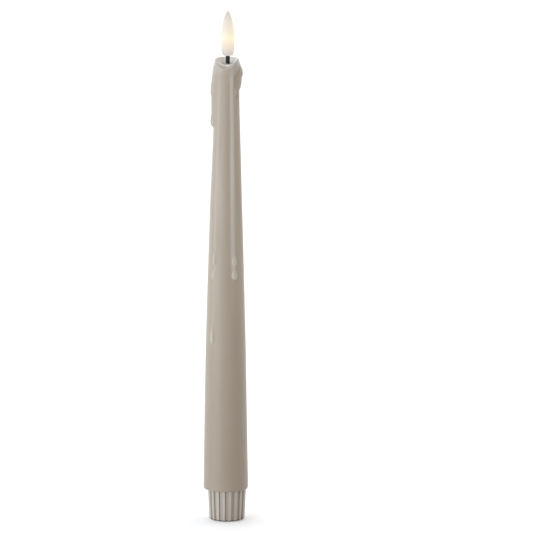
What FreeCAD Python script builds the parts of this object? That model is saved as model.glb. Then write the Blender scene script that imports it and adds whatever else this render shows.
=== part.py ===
"""Flameless LED taper candle, as a parametric FreeCAD document, in millimetres.

The candle stands on the flat underside of its fluted foot. +Z runs up its axis and the origin is the
centre of the foot's underside. Four groups of parts move on each other:

  foot    the fluted foot with the control board, its mode switch, the battery spring and the slip ring
  slider  the thumb slider of the mode switch, which travels along X
  cradle  the battery cradle, which turns in the foot, with two AAA cells end to end and their contacts
  shell   the wax-coated tube with the wick and the flame tip, which lifts off the cradle along Z

The bayonet between foot and shell stands at its release angle. Each part is a document object whose
sizes are bound to the cells of one spreadsheet, and is written to parts/ under its label.
"""

import FreeCAD, Part

import math
import os
import re

import Sketcher
from FreeCAD import Placement, Rotation, Vector

DIMENSIONS = {
    # Fluted foot: a cone that fits a candlestick, with a collar that enters the shell.
    "foot_height": 15.85,
    "foot_top_radius": 9.5,
    "foot_base_radius": 8.75,
    "foot_chamfer": 0.5,
    "flute_count": 18,
    "flute_depth": 0.8,
    "flute_mouth": 2.1,
    "flute_floor": 1.3,
    "floor_thickness": 2.0,
    "well_radius": 6.0,
    "foot_bore_radius": 6.95,
    "snap_groove_radius": 7.35,
    "snap_groove_bottom": 11.5,
    "snap_groove_top": 13.5,
    "collar_radius": 8.0,
    "collar_top": 24.5,
    "lug_radius": 8.6,
    "lug_bottom": 19.0,
    "lug_top": 21.2,
    "lug_angle": 16.0,
    # Mode switch and the control board that carries it.
    "board_bottom": 5.6,
    "board_thickness": 1.0,
    "board_radius": 6.8,
    "screw_circle_radius": 5.4,
    "screw_shank_radius": 0.75,
    "screw_length": 3.6,
    "screw_head_radius": 1.2,
    "screw_head_height": 0.8,
    "boss_radius": 1.5,
    "recess_length": 10.0,
    "recess_width": 5.6,
    "recess_depth": 1.2,
    "window_length": 6.2,
    "window_width": 2.0,
    "switch_length": 8.6,
    "switch_width": 3.6,
    "switch_bottom": 2.2,
    "switch_slot_length": 7.4,
    "switch_slot_width": 1.7,
    "switch_slot_depth": 1.5,
    "switch_pin_pitch": 2.0,
    "switch_pin_width": 0.5,
    "switch_pin_thickness": 0.3,
    "slider_flange_length": 3.0,
    "slider_flange_width": 1.4,
    "slider_flange_height": 0.8,
    "slider_stem_length": 1.7,
    "slider_stem_width": 1.4,
    "slider_tip": 0.5,
    "slip_ring_inner_radius": 3.3,
    "slip_ring_outer_radius": 4.1,
    "slip_ring_thickness": 0.15,
    # Two AAA cells end to end on a conical spring.
    "spring_wire_radius": 0.25,
    "spring_base_radius": 2.6,
    "spring_tip_radius": 1.6,
    "spring_turns": 5,
    "cell_radius": 5.1,
    "cell_body_length": 43.7,
    "cell_nub_radius": 1.9,
    "cell_nub_height": 0.8,
    "jacket_radius": 5.25,
    "jacket_curl": 0.2,
    "stack_bottom": 14.0,
    # Battery cradle: a trough, open at the front, with a ring that snaps into the foot.
    "cradle_radius": 6.6,
    "cradle_ring_radius": 6.85,
    "cradle_ring_bottom": 9.8,
    "cradle_floor_bottom": 12.4,
    "cradle_floor_hole": 3.2,
    "cradle_bead_radius": 7.2,
    "cradle_bead_bottom": 11.7,
    "cradle_bead_top": 13.3,
    "cradle_head_bottom": 103.4,
    "cradle_head_top": 106.4,
    "trough_radius": 5.4,
    "trough_lip": 3.0,
    "strip_width": 3.0,
    "strip_thickness": 0.3,
    "strip_inner_radius": 6.2,
    "key_width": 1.6,
    "key_depth": 0.7,
    "key_clearance": 0.15,
    "plate_thickness": 0.3,
    "plate_radius": 3.6,
    "button_radius": 1.4,
    "button_shank_radius": 0.9,
    "button_top": 107.5,
    "head_ring_inner_radius": 3.4,
    "head_ring_outer_radius": 5.2,
    # Shell: a plastic liner tube inside a wax coat that is thicker on one side.
    "shell_gap": 0.2,
    "liner_base_radius": 9.2,
    "liner_waist": 113.0,
    "liner_waist_radius": 7.8,
    "liner_top": 226.2,
    "liner_top_radius": 4.2,
    "liner_top_bore": 3.2,
    "liner_bore_radius": 6.8,
    "liner_socket_radius": 8.15,
    "liner_socket_top": 25.5,
    "liner_shoulder": 111.0,
    "liner_neck_radius": 6.2,
    "slot_radius": 8.72,
    "slot_bottom": 18.8,
    "slot_top": 21.6,
    "slot_entry_angle": 20.0,
    "slot_lock_angle": 46.0,
    "key_bottom": 30.0,
    "key_top": 105.0,
    "wax_offset": -0.5,
    "wax_bottom": 15.45,
    "wax_lip_bore": 9.8,
    "wax_base_radius": 11.0,
    "wax_fillet": 0.9,
    "wax_waist": 109.2,
    "wax_waist_radius": 9.15,
    "wax_shoulder": 216.2,
    "wax_shoulder_radius": 6.1,
    "wax_collar": 227.2,
    "wax_collar_radius": 6.55,
    "wax_rim": 232.2,
    "wax_rim_radius": 5.2,
    "bowl_rim_radius": 3.9,
    "bowl_floor": 228.6,
    "bowl_floor_radius": 2.2,
    "notch_radius": 6.0,
    "notch_centre": 233.8,
    # Runs of melted wax down the coat. Angles count from the front towards +X.
    "run_top": 227.2,
    "run_radius": 1.5,
    "run_relief": 0.3,
    "front_right_top_angle": 17.0,
    "front_right_end_angle": 27.0,
    "front_right_end": 127.2,
    "front_left_top_angle": -38.0,
    "front_left_end_angle": -43.0,
    "front_left_end": 126.8,
    "left_top_angle": -76.0,
    "left_end_angle": -84.0,
    "left_end": 199.2,
    "back_left_top_angle": -128.0,
    "back_left_end_angle": -134.0,
    "back_left_end": 146.8,
    "back_right_top_angle": 150.0,
    "back_right_end_angle": 158.0,
    "back_right_end": 174.8,
    "bead_radius": 1.2,
    "bead_length": 6.0,
    "bead_relief": 0.75,
    "drop_radius": 0.95,
    "drop_length": 4.0,
    "blob_angle": 68.0,
    "blob_height": 222.8,
    "blob_radius": 3.4,
    "blob_length": 17.0,
    "blob_relief": 1.2,
    # Flame tip: wick sleeve, plug, diffuser, light-emitting diode and its two leads.
    "wick_radius": 1.1,
    "wick_bore_radius": 0.72,
    "wick_bottom": 218.4,
    "wick_top": 235.1,
    "plug_bottom": 220.2,
    "plug_radius": 3.1,
    "plug_flange_radius": 4.0,
    "plug_flange_height": 0.8,
    "flame_bottom": 233.0,
    "flame_foot_radius": 2.1,
    "flame_heel_height": 2.5,
    "flame_heel_radius": 3.15,
    "flame_belly_height": 7.2,
    "flame_belly_radius": 3.46,
    "flame_tip": 255.6,
    "flame_tip_radius": 0.7,
    "flame_wall": 1.1,
    "flame_chamber_top": 243.4,
    "led_bottom": 235.4,
    "led_flange_radius": 1.7,
    "led_flange_height": 0.5,
    "led_radius": 1.4,
    "led_barrel_top": 238.6,
    "lead_radius": 0.22,
    "lead_spread": 0.36,
    # Contact block at the top of the battery bore.
    "block_bottom": 108.6,
    "block_radius": 6.7,
    "pin_head_radius": 1.6,
    "pin_head_bottom": 107.6,
    "pin_shank_radius": 0.75,
    "pin_top": 112.0,
    "crown_inner_radius": 3.6,
    "crown_outer_radius": 4.8,
    "crown_bottom": 106.95,
    "crown_thickness": 0.3,
    "tab_width": 1.0,
    "tab_thickness": 0.4,
}
ALIAS = re.compile(r"[a-z]+(?:_[a-z]+)+")
CAP_SLOPE = math.radians(24)

doc = FreeCAD.newDocument("led_taper_candle")
sheet = doc.addObject("Spreadsheet::Sheet", "dims")


# ---------------------------------------------------------------- sheet and sketch helpers


def fill_sheet():
    """Puts each driving dimension in a cell of its own, with its name as the alias."""
    for row, (alias, size) in enumerate(DIMENSIONS.items(), 1):
        sheet.set(f"A{row}", alias)
        sheet.set(f"B{row}", str(size))
        sheet.setAlias(f"B{row}", alias)
    doc.recompute()


def bound(text):
    """The expression as another object writes it, with the sheet's name before each alias."""
    return ALIAS.sub(lambda found: f"{sheet.Name}.{found.group()}", text)


def size(text):
    """The number that an expression of the sheet's aliases gives."""
    return float(sheet.evalExpression(text))


def bind(item, **sizes):
    """Binds properties of item to expressions. A dotted property is written with __ for the dot."""
    for name, text in sizes.items():
        item.setExpression(name.replace("__", "."), bound(text))
    return item


def new_body(label):
    """An empty PartDesign body whose label names its file."""
    body = doc.addObject("PartDesign::Body", label)
    body.Label = label
    return body


def origin_feature(body, role):
    """One of the body's own origin planes or axes."""
    return next(feature for feature in body.Origin.OriginFeatures if feature.Role == role)


def new_sketch(body, name, plane="XZ_Plane", height=None, shift=None):
    """A sketch on one of the body's origin planes, moved off it by the expressions given."""
    sketch = body.newObject("Sketcher::SketchObject", name)
    sketch.AttachmentSupport = [(origin_feature(body, plane), "")]
    sketch.MapMode = "FlatFace"
    if height:
        bind(sketch, AttachmentOffset__Base__z=height)
    if shift:
        bind(sketch, AttachmentOffset__Base__x=shift)
    return sketch


def pin_point(sketch, geometry, point, across, up):
    """Fixes one point of a sketch by two expressions. An expression of 0 puts it on that axis."""
    for kind, text, axis in (("DistanceX", across, -2), ("DistanceY", up, -1)):
        if text == "0":
            sketch.addConstraint(Sketcher.Constraint("PointOnObject", geometry, point, axis))
            continue
        rule = Sketcher.Constraint(kind, -1, 1, geometry, point, size(text))
        number = sketch.addConstraint(rule)
        sketch.setExpression(f"Constraints[{number}]", bound(text))


def outline(sketch, corners):
    """A closed outline of straight sides through the corners, each a pair of expressions."""
    points = [Vector(size(across), size(up), 0) for across, up in corners]
    sides = []
    for start, end in zip(points, points[1:] + points[:1]):
        sides.append(sketch.addGeometry(Part.LineSegment(start, end), False))
    for side, following in zip(sides, sides[1:] + sides[:1]):
        sketch.addConstraint(Sketcher.Constraint("Coincident", side, 2, following, 1))
    for side, (across, up) in zip(sides, corners):
        pin_point(sketch, side, 1, across, up)
    return sketch


def circle(sketch, radius, across="0", up="0"):
    """A circle of the given radius, centred by two expressions."""
    centre = Vector(size(across), size(up), 0)
    number = sketch.addGeometry(Part.Circle(centre, Vector(0, 0, 1), size(radius)), False)
    rule = sketch.addConstraint(Sketcher.Constraint("Radius", number, size(radius)))
    sketch.setExpression(f"Constraints[{rule}]", bound(radius))
    if across == up == "0":
        sketch.addConstraint(Sketcher.Constraint("Coincident", number, 3, -1, 1))
    else:
        pin_point(sketch, number, 3, across, up)
    return sketch


def rectangle(sketch, length, width, across="0", up="0"):
    """A rectangle of length along the sketch's X and width along its Y, centred on a point."""
    left, right = f"{across} - ({length}) / 2", f"{across} + ({length}) / 2"
    low, high = f"{up} - ({width}) / 2", f"{up} + ({width}) / 2"
    return outline(sketch, [(left, low), (right, low), (right, high), (left, high)])


def feature(body, kind, name, sketch, **sizes):
    """A PartDesign feature made from one sketch."""
    made = body.newObject(f"PartDesign::{kind}", name)
    made.Profile = sketch
    return bind(made, **sizes)


def turned(body, name, sketch, kind="Revolution", angle=None, reverse=False, midplane=False):
    """The sketch turned about its own vertical axis, added to the body or grooved out of it."""
    made = feature(body, kind, name, sketch)
    made.ReferenceAxis = (sketch, ["V_Axis"])
    made.Angle = 360
    if angle:
        bind(made, Angle=angle)
    made.Reversed = reverse
    made.Midplane = midplane
    return made


def around(body, name, originals, count):
    """Repeats features round the body's Z axis."""
    pattern = body.newObject("PartDesign::PolarPattern", name)
    pattern.Originals = originals
    pattern.Axis = (origin_feature(body, "Z_Axis"), [""])
    pattern.Angle = 360
    bind(pattern, Occurrences=count)
    body.Tip = pattern
    return pattern


def turned_body(label, corners):
    """A body that is one outline turned about Z."""
    body = new_body(label)
    turned(body, f"{label}_turned", outline(new_sketch(body, f"{label}_outline"), corners))
    return body


def tube_corners(inner, outer, bottom, top):
    """The half section of a plain tube."""
    return [(inner, bottom), (outer, bottom), (outer, top), (inner, top)]


# ---------------------------------------------------------------- foot


def make_foot_cup():
    """The fluted cup: a chamfered cone with the board's well, the snap groove and the collar."""
    body = new_body("foot_cup")
    section = [
        ("0", "0"),
        ("foot_base_radius - foot_chamfer", "0"),
        ("foot_base_radius", "foot_chamfer"),
        ("foot_top_radius", "foot_height"),
        ("collar_radius", "foot_height"),
        ("collar_radius", "collar_top - foot_chamfer"),
        ("collar_radius - foot_chamfer", "collar_top"),
        ("foot_bore_radius", "collar_top"),
        ("foot_bore_radius", "snap_groove_top"),
        ("snap_groove_radius", "snap_groove_top"),
        ("snap_groove_radius", "snap_groove_bottom"),
        ("foot_bore_radius", "snap_groove_bottom"),
        ("foot_bore_radius", "board_bottom"),
        ("well_radius", "board_bottom"),
        ("well_radius", "floor_thickness"),
        ("0", "floor_thickness"),
    ]
    turned(body, "cup", outline(new_sketch(body, "cup_section"), section))
    cut_flutes(body)
    add_lugs(body)
    add_bosses(body)
    cut_switch_opening(body)
    return body


def cut_flutes(body):
    """Straight-sided flutes that follow the cone from its base to the shoulder, one at the front."""
    sections = []
    for name, radius, height in (("base", "foot_base_radius", "0"), ("top", "foot_top_radius", "foot_height")):
        section = new_sketch(body, f"flute_{name}", "XY_Plane", height=height)
        outside, inside = f"-({radius}) - flute_depth", f"flute_depth - {radius}"
        flare = "flute_mouth * 2 - flute_floor"
        corners = [(f"-({flare}) / 2", outside), (f"({flare}) / 2", outside)]
        corners += [("flute_floor / 2", inside), ("-flute_floor / 2", inside)]
        sections.append(outline(section, corners))
    flute = body.newObject("PartDesign::SubtractiveLoft", "flute")
    flute.Profile = sections[0]
    flute.Sections = sections[1:]
    flute.Ruled = True
    around(body, "flutes", [flute], "flute_count")


def add_lugs(body):
    """Two bayonet lugs on the collar."""
    section = tube_corners("collar_radius - foot_chamfer", "lug_radius", "lug_bottom", "lug_top")
    sketch = outline(new_sketch(body, "lug_section"), section)
    lug = turned(body, "lug", sketch, angle="lug_angle", midplane=True)
    around(body, "lugs", [lug], "2")


def add_bosses(body):
    """Two posts from the floor to the board, with holes for its screws."""
    for name, side in (("back", "screw_circle_radius"), ("front", "-screw_circle_radius")):
        post = new_sketch(body, f"{name}_post_section", "XY_Plane", height="floor_thickness / 2")
        circle(post, "boss_radius", up=side)
        feature(body, "Pad", f"{name}_post", post, Length="board_bottom - floor_thickness / 2")
        hole = new_sketch(body, f"{name}_hole_section", "XY_Plane", height="board_bottom")
        circle(hole, "screw_shank_radius + 0.03", up=side)
        feature(body, "Pocket", f"{name}_hole", hole, Length="screw_length")


def cut_switch_opening(body):
    """A shallow finger recess in the underside, and the window that the slider's stem passes."""
    recess = new_sketch(body, "recess_section", "XY_Plane")
    rectangle(recess, "recess_length", "recess_width")
    cut = feature(body, "Pocket", "recess", recess, Length="recess_depth")
    cut.Reversed = True
    window = new_sketch(body, "window_section", "XY_Plane")
    rectangle(window, "window_length", "window_width")
    cut = feature(body, "Pocket", "window", window, Length="floor_thickness + recess_depth")
    cut.Reversed = True


def make_board():
    """The round control board, drilled for its two screws and the switch's four pins."""
    body = new_body("control_board")
    disc = circle(new_sketch(body, "disc", "XY_Plane", height="board_bottom"), "board_radius")
    feature(body, "Pad", "board", disc, Length="board_thickness")
    holes = new_sketch(body, "holes", "XY_Plane", height="board_bottom + board_thickness")
    for side in ("screw_circle_radius", "-screw_circle_radius"):
        circle(holes, "screw_shank_radius + 0.1", up=side)
    for place in pin_places():
        circle(holes, "switch_pin_width * 0.7", across=place)
    feature(body, "Pocket", "drilled", holes, Length="board_thickness * 2")
    return body


def pin_places():
    """Where the switch's four pins stand along X, as expressions."""
    return [f"switch_pin_pitch * ({share})" for share in (-1.5, -0.5, 0.5, 1.5)]


def make_slip_ring():
    """The brass ring on the board that the cradle's strip wipes."""
    bottom = "board_bottom + board_thickness"
    top = f"{bottom} + slip_ring_thickness"
    section = tube_corners("slip_ring_inner_radius", "slip_ring_outer_radius", bottom, top)
    return turned_body("slip_ring", section)


def make_switch_housing():
    """The slide switch's box, open below where the slider runs, under the board."""
    body = new_body("switch_housing")
    block = new_sketch(body, "block_section", "XY_Plane", height="switch_bottom")
    rectangle(block, "switch_length", "switch_width")
    feature(body, "Pad", "block", block, Length="board_bottom - switch_bottom")
    slot = new_sketch(body, "slot_section", "XY_Plane", height="switch_bottom")
    rectangle(slot, "switch_slot_length", "switch_slot_width")
    cut = feature(body, "Pocket", "slot", slot, Length="switch_slot_depth")
    cut.Reversed = True
    return body


def make_switch_pins():
    """The switch's four solder pins, flush with the top of the board."""
    pins = []
    for number, place in enumerate(pin_places(), 1):
        pin = doc.addObject("Part::Box", f"pin_{number}")
        bind(pin, Length="switch_pin_width", Width="switch_pin_thickness", Height="board_thickness")
        bind(pin, Placement__Base__x=f"{place} - switch_pin_width / 2")
        bind(pin, Placement__Base__y="-switch_pin_thickness / 2", Placement__Base__z="board_bottom")
        pins.append(pin)
    return group("switch_pins", pins)


def group(label, members):
    """Separate solids that share one node."""
    compound = doc.addObject("Part::Compound", label)
    compound.Label = label
    compound.Links = members
    return compound


def make_slider():
    """The switch's thumb slider: a flange in the switch's slot and a stem in the foot's window."""
    body = new_body("switch_slider")
    flange_bottom = "switch_bottom + 0.4"
    flange = new_sketch(body, "flange_section", "XY_Plane", height=flange_bottom)
    rectangle(flange, "slider_flange_length", "slider_flange_width")
    feature(body, "Pad", "flange", flange, Length="slider_flange_height")
    stem = new_sketch(body, "stem_section", "XY_Plane", height="slider_tip")
    rectangle(stem, "slider_stem_length", "slider_stem_width")
    feature(body, "Pad", "stem", stem, Length=f"{flange_bottom} - slider_tip + 0.1")
    for name, share in (("left", "-0.3"), ("middle", "0"), ("right", "0.3")):
        grip = new_sketch(body, f"{name}_grip_section", "XY_Plane", height="slider_tip")
        rectangle(grip, "0.2", "slider_stem_width * 1.2", across=f"slider_stem_length * ({share})")
        feature(body, "Pocket", f"{name}_grip", grip, Length="0.2").Reversed = True
    return body


def make_board_screws():
    """Two pan-head screws with a cross slot, which hold the board on its bosses."""
    head_bottom = "board_bottom + board_thickness"
    screws = []
    for name, side in (("back", "screw_circle_radius"), ("front", "-screw_circle_radius")):
        shank = doc.addObject("Part::Cylinder", f"{name}_shank")
        bind(shank, Radius="screw_shank_radius", Height="screw_length + 0.1")
        bind(shank, Placement__Base__y=side, Placement__Base__z=f"{head_bottom} - screw_length")
        head = doc.addObject("Part::Cylinder", f"{name}_head")
        bind(head, Radius="screw_head_radius", Height="screw_head_height")
        bind(head, Placement__Base__y=side, Placement__Base__z=head_bottom)
        screw = doc.addObject("Part::Fuse", f"{name}_blank")
        screw.Base, screw.Tool = shank, head
        for turn in ("along", "across"):
            screw = cut_drive(screw, f"{name}_{turn}", turn, side, head_bottom)
        screws.append(screw)
    return group("board_screws", screws)


def cut_drive(screw, name, turn, side, head_bottom):
    """One slot of a screw's cross recess."""
    slot = doc.addObject("Part::Box", f"{name}_slot")
    length, width = "screw_head_radius * 1.3", "screw_head_radius * 0.3"
    if turn == "across":
        length, width = width, length
    bind(slot, Length=length, Width=width, Height="screw_head_height")
    bind(slot, Placement__Base__x=f"-{length} / 2", Placement__Base__y=f"{side} - {width} / 2")
    bind(slot, Placement__Base__z=f"{head_bottom} + screw_head_height / 2")
    cut = doc.addObject("Part::Cut", name)
    cut.Base, cut.Tool = screw, slot
    return cut


def make_chip(label, length, width, height, across, up):
    """A surface-mount part on the underside of the board."""
    chip = doc.addObject("Part::Box", label)
    chip.Label = label
    bind(chip, Length=length, Width=width, Height=height)
    bind(chip, Placement__Base__x=f"{across} - {length} / 2", Placement__Base__y=f"{up} - {width} / 2")
    bind(chip, Placement__Base__z=f"board_bottom - {height}")
    return chip


def make_spring():
    """The conical battery spring that stands on the board and presses on the lower cell."""
    bottom = size("board_bottom + board_thickness + spring_wire_radius")
    top = size("stack_bottom - spring_wire_radius")
    base, tip, turns = size("spring_base_radius"), size("spring_tip_radius"), size("spring_turns")
    height = top - bottom - 0.1
    lean = math.degrees(math.atan((tip - base) / height))
    path = Part.makeHelix(height / turns, height, base, lean)
    pitch_angle = math.degrees(math.atan(height / turns / (2 * math.pi * base)))
    section = Part.makeCircle(size("spring_wire_radius"))
    section.Placement = Placement(Vector(base, 0, 0), Rotation(Vector(1, 0, 0), 90 + pitch_angle))
    wire = Part.Wire(path).makePipeShell([Part.Wire(section)], True, True)
    spring = doc.addObject("Part::Feature", "battery_spring")
    spring.Label = "battery_spring"
    spring.Shape = wire
    spring.Placement = Placement(Vector(0, 0, bottom + 0.05), Rotation())
    return spring


# ---------------------------------------------------------------- cradle


def make_cradle():
    """The battery cradle: a trough between a ring that turns in the foot and a head wall."""
    body = new_body("battery_cradle")
    section = [
        ("0", "cradle_floor_bottom"),
        ("cradle_ring_radius - 1.2", "cradle_floor_bottom"),
        ("cradle_ring_radius - 1.2", "cradle_ring_bottom"),
        ("cradle_ring_radius", "cradle_ring_bottom"),
        ("cradle_ring_radius", "cradle_bead_bottom"),
        ("cradle_bead_radius", "cradle_bead_bottom + 0.4"),
        ("cradle_bead_radius", "cradle_bead_top - 0.4"),
        ("cradle_ring_radius", "cradle_bead_top"),
        ("cradle_ring_radius", "collar_top - 0.3"),
        ("cradle_radius", "collar_top + 0.2"),
        ("cradle_radius", "cradle_head_top - 0.4"),
        ("cradle_radius - 0.4", "cradle_head_top"),
        ("0", "cradle_head_top"),
    ]
    turned(body, "rod", outline(new_sketch(body, "rod_section"), section))
    cut_trough(body)
    cut_cradle_grooves(body)
    return body


def cut_trough(body):
    """The bay for two cells, open at the front, and the holes through floor and head."""
    bay = new_sketch(body, "bay_section", "XY_Plane", height="stack_bottom - 0.05")
    circle(bay, "trough_radius")
    bay_length = "cradle_head_bottom - stack_bottom + 0.05"
    feature(body, "Pocket", "bay", bay, Length=bay_length).Reversed = True
    mouth = new_sketch(body, "mouth_section", "XY_Plane", height="stack_bottom - 0.05")
    rectangle(mouth, "trough_radius * 2", "cradle_radius * 1.2", up="-cradle_radius * 0.6")
    feature(body, "Pocket", "mouth", mouth, Length=bay_length).Reversed = True
    lips = new_sketch(body, "lips_section", "XY_Plane", height="collar_top + 0.5")
    rectangle(lips, "cradle_radius * 2.2", "cradle_radius", up="-trough_lip - cradle_radius / 2")
    lip_length = "cradle_head_bottom - collar_top - 0.5"
    feature(body, "Pocket", "lips", lips, Length=lip_length).Reversed = True
    floor_hole = new_sketch(body, "floor_hole_section", "XY_Plane", height="cradle_floor_bottom")
    circle(floor_hole, "cradle_floor_hole")
    feature(body, "Pocket", "floor_hole", floor_hole, Length="3").Reversed = True
    head_hole = new_sketch(body, "head_hole_section", "XY_Plane", height="cradle_head_bottom")
    circle(head_hole, "button_shank_radius + 0.05")
    feature(body, "Pocket", "head_hole", head_hole, Length="4").Reversed = True


def cut_cradle_grooves(body):
    """A groove down the back for the return strip, and one on the left for the liner's key."""
    strip = new_sketch(body, "strip_groove_section", "XY_Plane", height="cradle_ring_bottom")
    depth = "cradle_ring_radius - strip_inner_radius + 0.55"
    rectangle(strip, "strip_width + 0.2", depth, up=f"strip_inner_radius - 0.05 + ({depth}) / 2")
    groove_length = "cradle_head_top - cradle_ring_bottom"
    feature(body, "Pocket", "strip_groove", strip, Length=groove_length).Reversed = True
    key = new_sketch(body, "key_groove_section", "XY_Plane", height="key_bottom - 1")
    inner = "liner_bore_radius - key_depth - key_clearance"
    rectangle(key, "2", "key_width + key_clearance * 2", across=f"-({inner}) - 1")
    feature(body, "Pocket", "key_groove", key, Length="cradle_head_top - key_bottom + 2").Reversed = True


def make_cells():
    """Two AAA cells, each a steel can with its nub and a plastic jacket round it."""
    made = []
    cell_length = "(cell_body_length + cell_nub_height)"
    for label, number in (("battery_lower", "0"), ("battery_upper", "1")):
        bottom = f"stack_bottom + {cell_length} * {number}"
        top = f"{bottom} + cell_body_length"
        can = [
            ("0", bottom),
            ("cell_radius - 0.4", bottom),
            ("cell_radius", f"{bottom} + 0.4"),
            ("cell_radius", f"{top} - 0.3"),
            ("cell_radius - 0.3", top),
            ("cell_nub_radius", top),
            ("cell_nub_radius", f"{top} + cell_nub_height - 0.2"),
            ("cell_nub_radius - 0.2", f"{top} + cell_nub_height - 0.02"),
            ("0", f"{top} + cell_nub_height - 0.02"),
        ]
        made.append(turned_body(f"{label}_can", can))
        low, high = f"{bottom} + 0.6", f"{top} - 0.4"
        jacket = tube_corners("cell_radius", "jacket_radius", low, high)
        made.append(turned_body(f"{label}_jacket", jacket))
    return made


def make_positive_contact():
    """The plate on the upper cell's nub, riveted through the head wall to a domed button."""
    plate_top = "cradle_head_bottom"
    section = [
        ("0", f"{plate_top} - plate_thickness"),
        ("plate_radius", f"{plate_top} - plate_thickness"),
        ("plate_radius", plate_top),
        ("button_shank_radius", plate_top),
        ("button_shank_radius", "cradle_head_top"),
        ("button_radius", "cradle_head_top"),
        ("button_radius", "button_top - 0.5"),
        ("button_radius - 0.5", "button_top"),
        ("0", "button_top"),
    ]
    return turned_body("positive_contact", section)


def make_return_strip():
    """The strip down the cradle's back, with a ring on the head and a finger on the slip ring."""
    body = new_body("return_strip")
    ring_top = "cradle_head_top + strip_thickness"
    ring_sides = ("head_ring_inner_radius", "head_ring_outer_radius")
    ring = tube_corners(*ring_sides, "cradle_head_top", ring_top)
    turned(body, "head_ring", outline(new_sketch(body, "head_ring_section"), ring))
    wiper_top = "cradle_ring_bottom - 0.2"
    wiper_bottom = f"{wiper_top} - strip_thickness"
    outer = "strip_inner_radius + strip_thickness"
    profile = [
        ("head_ring_outer_radius - 0.6", "cradle_head_top"),
        ("strip_inner_radius", "cradle_head_top"),
        ("strip_inner_radius", wiper_top),
        ("slip_ring_outer_radius - 0.25", wiper_top),
        ("slip_ring_inner_radius + 0.3", f"{wiper_top} - 0.3"),
        ("slip_ring_inner_radius + 0.3", "board_bottom + board_thickness + slip_ring_thickness + 0.06"),
        ("slip_ring_outer_radius - 0.25", "board_bottom + board_thickness + slip_ring_thickness + 0.06"),
        ("slip_ring_outer_radius - 0.25", wiper_bottom),
        (outer, wiper_bottom),
        (outer, ring_top),
        ("head_ring_outer_radius - 0.6", ring_top),
    ]
    side = outline(new_sketch(body, "strip_profile", "YZ_Plane"), profile)
    strip = feature(body, "Pad", "strip", side, Length="strip_width")
    strip.Midplane = True
    return body


# ---------------------------------------------------------------- shell


def make_liner():
    """The tapered plastic tube under the wax, with the bayonet slots and the cradle's key."""
    body = new_body("liner_tube")
    section = [
        ("liner_socket_radius", "foot_height + shell_gap"),
        ("liner_base_radius", "foot_height + shell_gap"),
        ("liner_waist_radius", "liner_waist"),
        ("liner_top_radius", "liner_top"),
        ("liner_top_bore", "liner_top"),
        ("liner_neck_radius", "liner_shoulder + 5"),
        ("liner_neck_radius", "liner_shoulder"),
        ("liner_bore_radius", "liner_shoulder"),
        ("liner_bore_radius", "liner_socket_top"),
        ("liner_socket_radius", "liner_socket_top"),
    ]
    turned(body, "tube", outline(new_sketch(body, "tube_section"), section))
    cut_bayonet(body)
    key = new_sketch(body, "key_section", "XY_Plane", height="key_bottom")
    rectangle(key, "key_depth + 0.3", "key_width", across="-liner_bore_radius + (key_depth - 0.3) / 2")
    feature(body, "Pad", "key", key, Length="key_top - key_bottom")
    return body


def cut_bayonet(body):
    """Two entry slots up from the tube's end, and the locking slots that the lugs turn into."""
    inner = "liner_socket_radius - 0.3"
    entry_sides = (inner, "slot_radius", "foot_height", "slot_top")
    entry = outline(new_sketch(body, "entry_section"), tube_corners(*entry_sides))
    entry = turned(body, "entry", entry, "Groove", angle="slot_entry_angle", midplane=True)
    around(body, "entries", [entry], "2")
    lock_sides = (inner, "slot_radius", "slot_bottom", "slot_top")
    lock = outline(new_sketch(body, "lock_section"), tube_corners(*lock_sides))
    lock = turned(body, "lock", lock, "Groove", angle="slot_lock_angle", reverse=True)
    around(body, "locks", [lock], "2")


def wax_outline(sketch):
    """Half of the wax coat's outer section: bottom fillet, a long ogive arc and the melted shoulder."""
    low = size("wax_bottom + wax_fillet")
    base, fillet = size("wax_base_radius"), size("wax_fillet")
    bottom = Vector(base - fillet, low - fillet, 0)
    side = Vector(base, low, 0)
    corner = Vector(base - fillet + fillet * math.sin(math.pi / 4), low - fillet * math.cos(math.pi / 4), 0)
    waist = Vector(size("wax_waist_radius"), size("wax_waist"), 0)
    shoulder = Vector(size("wax_shoulder_radius"), size("wax_shoulder"), 0)
    collar = Vector(size("wax_collar_radius"), size("wax_collar"), 0)
    rim = Vector(size("wax_rim_radius"), size("wax_rim"), 0)
    brow = (collar + rim) / 2 + Vector(0.35, 0.35, 0)
    foot_centre = Vector(0, bottom.y, 0)
    rim_centre = Vector(0, rim.y, 0)
    for edge in (
        Part.LineSegment(foot_centre, bottom),
        Part.Arc(bottom, corner, side),
        Part.Arc(side, waist, shoulder),
        Part.LineSegment(shoulder, collar),
        Part.Arc(collar, brow, rim),
        Part.LineSegment(rim, rim_centre),
        Part.LineSegment(rim_centre, foot_centre),
    ):
        sketch.addGeometry(edge, False)
    return sketch


def make_wax_coat():
    """The wax coat: offset from the tube's axis, open below, with a notched bowl round the wick."""
    body = new_body("wax_coat")
    outer = wax_outline(new_sketch(body, "coat_section", shift="wax_offset"))
    turned(body, "coat", outer)
    add_runs(body)
    hollow_coat(body)
    return body


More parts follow.
